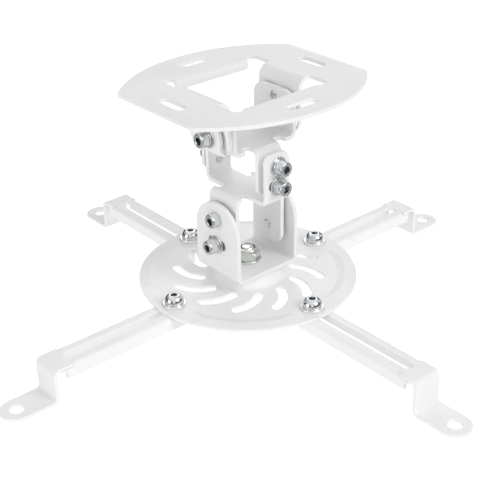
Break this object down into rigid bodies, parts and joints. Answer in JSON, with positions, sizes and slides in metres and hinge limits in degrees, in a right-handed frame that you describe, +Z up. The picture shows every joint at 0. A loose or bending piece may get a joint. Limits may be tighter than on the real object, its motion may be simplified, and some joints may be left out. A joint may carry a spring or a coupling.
{
  "type": "projector mount",
  "caption": "Low ceiling mount for a projector: slotted ceiling plate, tilting and rolling folded brackets, swivelling disc with sliding, pivoting slotted arms.",
  "frame": {"origin": "centre of the footprint at the underside of the arms' feet, on the swivel axis", "axes": "+Z up to the ceiling plate, +X along the plate's long axis and the tilt bolts, +Y along the roll bolts"},
  "size_m": [0.3346, 0.3346, 0.1407],
  "materials": {
    "plate_white": "satin powder coat",
    "saddle_white": "satin powder coat",
    "yoke_white": "satin powder coat",
    "disc_white": "satin powder coat",
    "arm_white": "satin powder coat",
    "zinc_bolt": "bright zinc plate",
    "zinc_washer": "bright zinc plate",
    "zinc_swivel": "bright zinc plate"
  },
  "bodies": {
    "ceiling": {"ceiling_plate": "plate_white"},
    "upper": {"upper_saddle": "saddle_white", "tilt_pivot_bolts": "zinc_bolt", "tilt_pivot_spring_washers": "zinc_washer", "tilt_pivot_flat_washers": "zinc_washer", "tilt_lock_bolts": "zinc_bolt", "tilt_lock_spring_washers": "zinc_washer", "tilt_lock_flat_washers": "zinc_washer", "roll_front_bolts": "zinc_bolt", "roll_front_spring_washers": "zinc_washer", "roll_front_flat_washers": "zinc_washer"},
    "lower": {"lower_saddle": "saddle_white", "roll_back_bolts": "zinc_bolt", "roll_back_spring_washers": "zinc_washer", "roll_back_flat_washers": "zinc_washer", "yoke_pivot_bolts": "zinc_bolt", "yoke_lock_bolts": "zinc_bolt", "yoke_lock_spring_washers": "zinc_washer", "yoke_lock_flat_washers": "zinc_washer"},
    "yoke": {"swivel_yoke": "yoke_white", "swivel_bolt": "zinc_swivel", "swivel_washer": "zinc_swivel", "swivel_lock_nut": "zinc_swivel"},
    "disc": {"adapter_disc": "disc_white"},
    "pivot_back_right": {"arm_screw_back_right": "zinc_bolt", "arm_washer_back_right": "zinc_washer", "arm_nut_back_right": "zinc_bolt"},
    "arm_back_right": {"arm_back_right": "arm_white"},
    "pivot_back_left": {"arm_screw_back_left": "zinc_bolt", "arm_washer_back_left": "zinc_washer", "arm_nut_back_left": "zinc_bolt"},
    "arm_back_left": {"arm_back_left": "arm_white"},
    "pivot_front_left": {"arm_screw_front_left": "zinc_bolt", "arm_washer_front_left": "zinc_washer", "arm_nut_front_left": "zinc_bolt"},
    "arm_front_left": {"arm_front_left": "arm_white"},
    "pivot_front_right": {"arm_screw_front_right": "zinc_bolt", "arm_washer_front_right": "zinc_washer", "arm_nut_front_right": "zinc_bolt"},
    "arm_front_right": {"arm_front_right": "arm_white"}
  },
  "joints": [
    {"name": "ceiling_tilt", "type": "hinge", "parent": "ceiling", "child": "upper", "pos_m": [0, 0, 0.1155], "axis": [1, 0, 0], "range_deg": [-10, 35]},
    {"name": "saddle_roll", "type": "hinge", "parent": "upper", "child": "lower", "pos_m": [0, 0, 0.0995], "axis": [0, 1, 0], "range_deg": [-15, 15]},
    {"name": "yoke_tilt", "type": "hinge", "parent": "lower", "child": "yoke", "pos_m": [0, 0, 0.065], "axis": [1, 0, 0], "range_deg": [-15, 15]},
    {"name": "disc_swivel", "type": "hinge", "parent": "yoke", "child": "disc", "pos_m": [0, 0, 0.0225], "axis": [0, 0, 1], "continuous": true},
    {"name": "arm_pivot_back_right", "type": "hinge", "parent": "disc", "child": "pivot_back_right", "pos_m": [0.0547, 0, 0.0207], "axis": [0, 0, 1], "range_deg": [-35, 35]},
    {"name": "arm_slide_back_right", "type": "slide", "parent": "pivot_back_right", "child": "arm_back_right", "axis": [1, 0, 0], "range_m": [-0.03, 0.004]},
    {"name": "arm_pivot_back_left", "type": "hinge", "parent": "disc", "child": "pivot_back_left", "pos_m": [0, 0.0547, 0.0207], "axis": [0, 0, 1], "range_deg": [-35, 35]},
    {"name": "arm_slide_back_left", "type": "slide", "parent": "pivot_back_left", "child": "arm_back_left", "axis": [0, 1, 0], "range_m": [-0.03, 0.004]},
    {"name": "arm_pivot_front_left", "type": "hinge", "parent": "disc", "child": "pivot_front_left", "pos_m": [-0.0547, 0, 0.0207], "axis": [0, 0, 1], "range_deg": [-35, 35]},
    {"name": "arm_slide_front_left", "type": "slide", "parent": "pivot_front_left", "child": "arm_front_left", "axis": [-1, 0, 0], "range_m": [-0.03, 0.004]},
    {"name": "arm_pivot_front_right", "type": "hinge", "parent": "disc", "child": "pivot_front_right", "pos_m": [0, -0.0547, 0.0207], "axis": [0, 0, 1], "range_deg": [-35, 35]},
    {"name": "arm_slide_front_right", "type": "slide", "parent": "pivot_front_right", "child": "arm_front_right", "axis": [0, -1, 0], "range_m": [-0.03, 0.004]}
  ]
}
